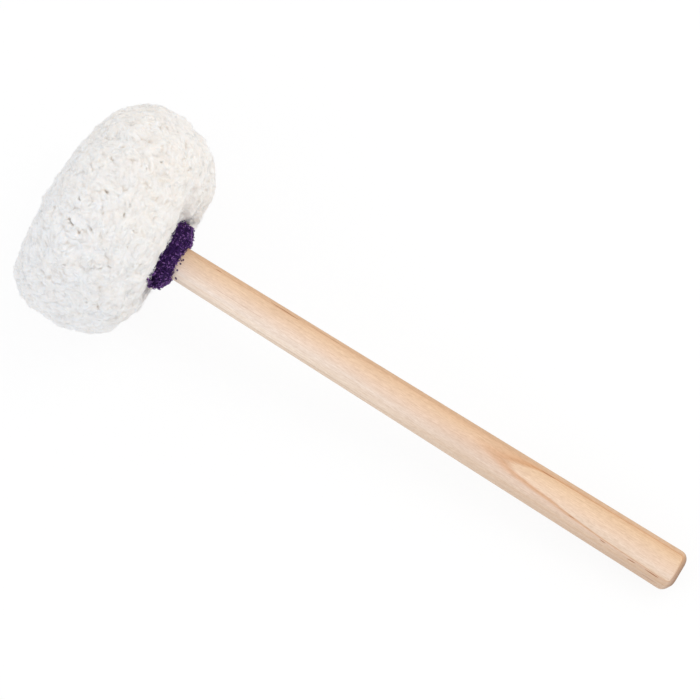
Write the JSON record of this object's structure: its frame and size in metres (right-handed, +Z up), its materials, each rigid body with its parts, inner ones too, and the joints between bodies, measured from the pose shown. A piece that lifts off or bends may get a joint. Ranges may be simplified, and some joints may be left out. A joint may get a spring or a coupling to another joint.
{
  "type": "gong mallet",
  "caption": "Weighted gong mallet: a drum-shaped head in white fleece, gathered at the neck under a collar of wound purple yarn, on a tapered square maple handle.",
  "frame": {"origin": "centre of the bounding box's underside: the floor under the middle of the mallet as it lies at rest", "axes": "+X from the head towards the butt, +Z up from the floor; the mallet's own axis lies in the XZ plane and slopes down to the butt"},
  "size_m": [0.4046, 0.1338, 0.1313],
  "materials": {
    "maple": "pale maple, sanded and satin lacquered",
    "plywood": "bare birch plywood",
    "steel": "turned mild steel",
    "felt": "dense grey wool felt",
    "twine": "waxed linen twine",
    "fleece": "white long-pile fleece in soft clumps",
    "yarn": "dark purple fuzzy yarn"
  },
  "bodies": {
    "root": {"handle": "maple", "head_core": "maple", "core_lid": "plywood", "cross_pin": "maple", "weight_ring": "steel", "retaining_washer": "steel", "retaining_screw": "steel", "felt_band": "felt", "felt_far_disc": "felt", "felt_near_disc": "felt", "felt_binding_far": "twine", "felt_binding_near": "twine", "fleece_cover": "fleece", "neck_drawstring": "twine", "yarn_collar": "yarn"}
  },
  "joints": []
}
